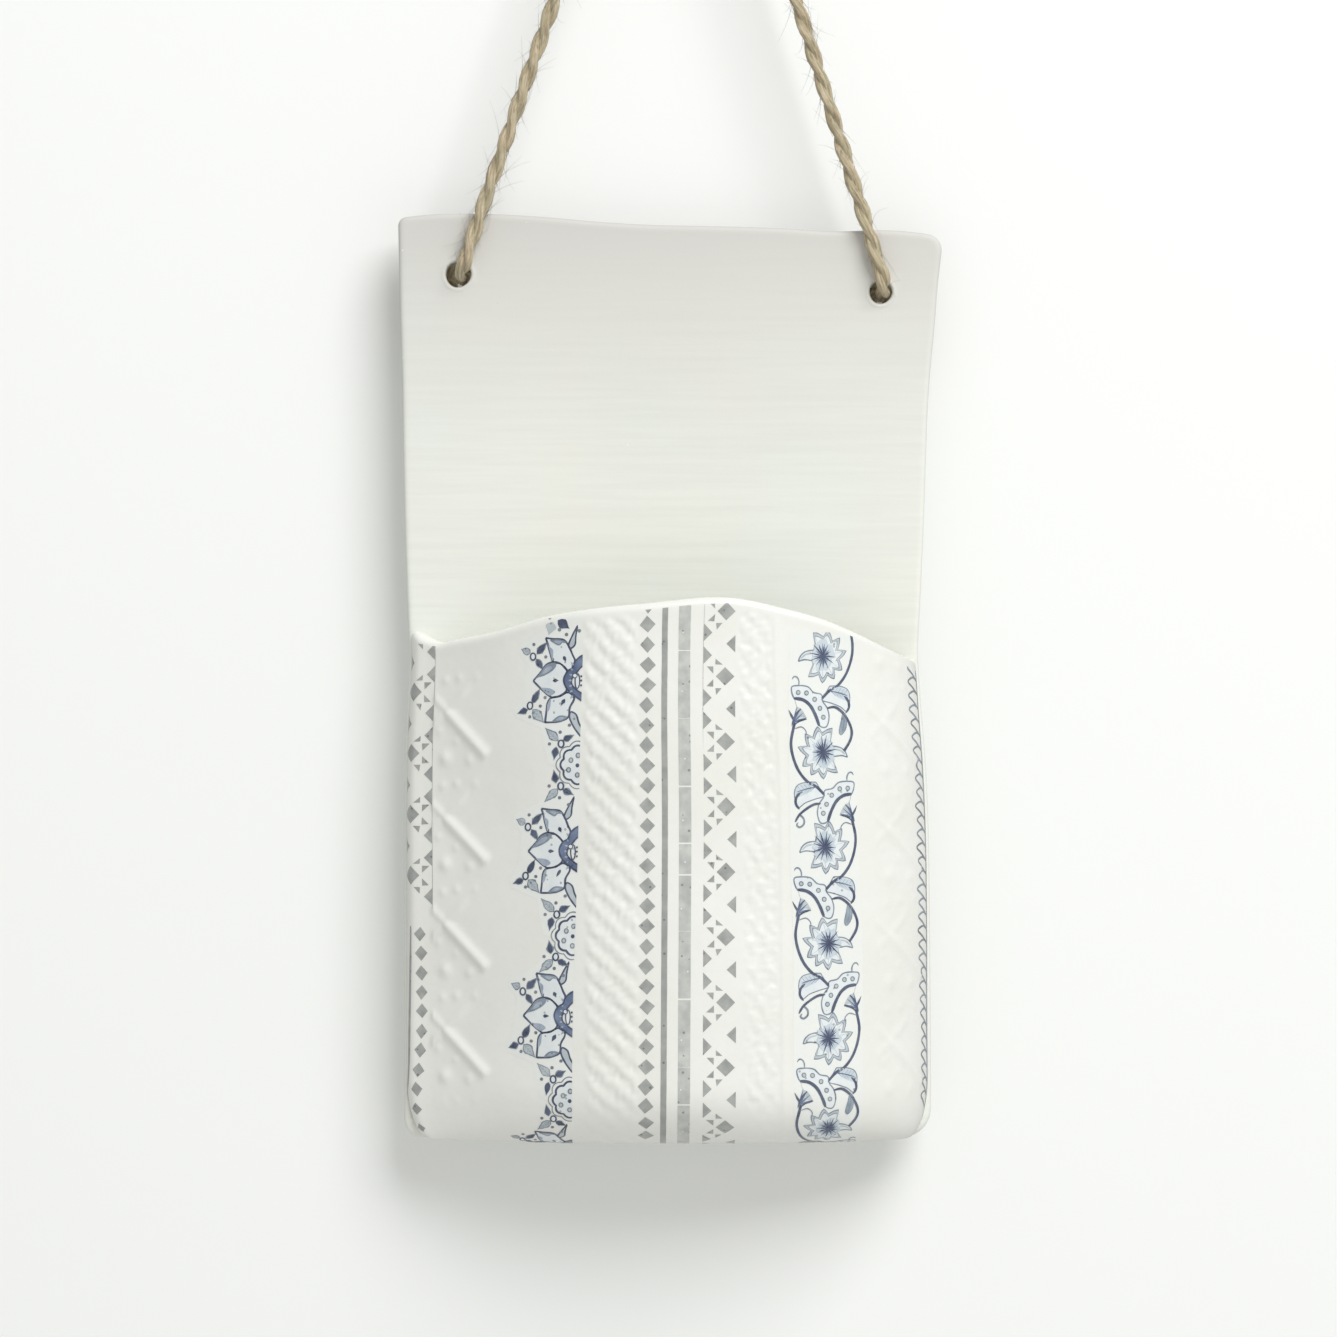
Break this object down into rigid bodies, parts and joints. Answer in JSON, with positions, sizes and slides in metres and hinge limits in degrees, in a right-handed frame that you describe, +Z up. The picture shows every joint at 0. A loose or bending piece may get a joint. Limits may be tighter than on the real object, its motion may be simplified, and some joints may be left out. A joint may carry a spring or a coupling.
{
  "type": "hanging wall vase",
  "caption": "Flat ceramic back slab with a bulged glazed pocket on its lower half, hung from a nail by a twine loop that is knotted behind its holes.",
  "frame": {"origin": "where the twine bears on the top of its nail, in the plane of the twine's two legs", "axes": "+Z up, the decorated front faces -Y and the wall lies towards +Y, +X to the right seen from the front"},
  "size_m": [0.1051, 0.035, 0.2826],
  "materials": {
    "bisque": "satin",
    "glaze": "gloss",
    "jute": "matt"
  },
  "bodies": {
    "twine": {"hanging_twine": "jute"},
    "vase": {"back_slab": "bisque", "pocket": "glaze", "left_knot": "jute", "right_knot": "jute"}
  },
  "joints": [
    {"name": "vase_swing", "type": "hinge", "parent": "twine", "child": "vase", "pos_m": [-0.0431, 0, -0.1124], "axis": [-0.999, 0, 0.0447], "range_deg": [0, 90]}
  ]
}
